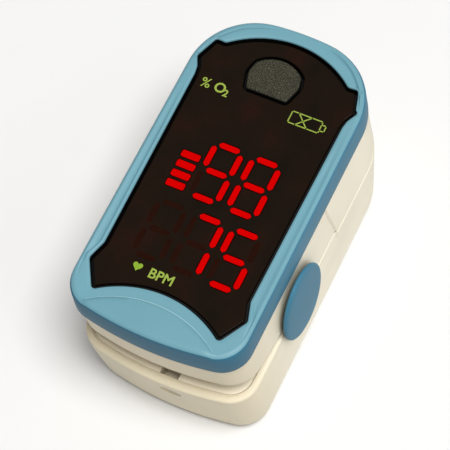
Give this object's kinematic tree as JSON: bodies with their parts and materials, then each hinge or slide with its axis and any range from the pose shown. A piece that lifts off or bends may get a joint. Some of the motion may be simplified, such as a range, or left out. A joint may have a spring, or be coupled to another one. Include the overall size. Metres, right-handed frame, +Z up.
{
  "type": "fingertip pulse oximeter",
  "caption": "Clip-on fingertip pulse oximeter: two sprung plastic halves, a tinted display window, a push button and a sliding battery cover.",
  "frame": {"origin": "middle of the base, where the lower half rests", "axes": "+Z up, +Y along the finger towards the finger opening, +X to the right of a reader at the pinch end"},
  "size_m": [0.0342, 0.0599, 0.0344],
  "materials": {
    "blue_plastic": "satin light blue",
    "white_plastic": "fine satin off-white",
    "tinted_window": "polished dark red-brown tint",
    "button_plastic": "speckled olive grey",
    "silicone": "matt dark grey",
    "circuit_board": "green solder mask",
    "display_module": "black housing with red segments",
    "chip_epoxy": "black moulding",
    "steel": "bright",
    "nickel_contact": "nickel plated",
    "cell_jacket": "printed sleeve",
    "clear_lens": "clear epoxy",
    "cable_film": "amber film"
  },
  "bodies": {
    "lower_half": {"lower_shell": "white_plastic", "lower_inner_cover": "white_plastic", "lower_pad": "silicone", "photodiode": "clear_lens", "battery_board": "circuit_board", "battery_left": "cell_jacket", "battery_right": "cell_jacket", "contact_plate_negative": "nickel_contact", "contact_plate_positive": "nickel_contact", "contact_bridge": "nickel_contact", "battery_spring_near": "nickel_contact", "battery_spring_far": "nickel_contact", "pivot_axle": "steel", "torsion_spring_left": "steel", "torsion_spring_right": "steel", "flex_cable": "cable_film", "hinge_cap_left": "blue_plastic", "hinge_cap_right": "blue_plastic", "lower_screw_1": "steel", "lower_screw_2": "steel", "lower_screw_3": "steel", "lower_screw_4": "steel"},
    "upper_half": {"bezel_frame": "blue_plastic", "display_window": "tinted_window", "upper_shell": "white_plastic", "upper_inner_cover": "white_plastic", "upper_pad": "silicone", "main_pcb": "circuit_board", "led_display": "display_module", "tact_switch": "chip_epoxy", "controller_chip": "chip_epoxy", "emitter_led": "clear_lens", "upper_screw_1": "steel", "upper_screw_2": "steel", "upper_screw_3": "steel", "upper_screw_4": "steel"},
    "power_button": {"power_button": "button_plastic"},
    "battery_cover": {"battery_cover": "white_plastic"}
  },
  "joints": [
    {"name": "clamp", "type": "hinge", "parent": "lower_half", "child": "upper_half", "pos_m": [0, -0.008, 0.0172], "axis": [1, 0, 0], "range_deg": [0, 12], "stiffness_Nm_per_rad": 0.3, "springref_deg": -14.32, "deforming": ["torsion_spring_left", "torsion_spring_right", "flex_cable"]},
    {"name": "button_press", "type": "slide", "parent": "upper_half", "child": "power_button", "axis": [0, 0, -1], "range_m": [0, 0.0005], "stiffness_N_per_m": 600, "springref_m": -0.0004},
    {"name": "battery_cover_slide", "type": "slide", "parent": "lower_half", "child": "battery_cover", "axis": [0, 1, 0], "range_m": [0, 0.046]}
  ]
}
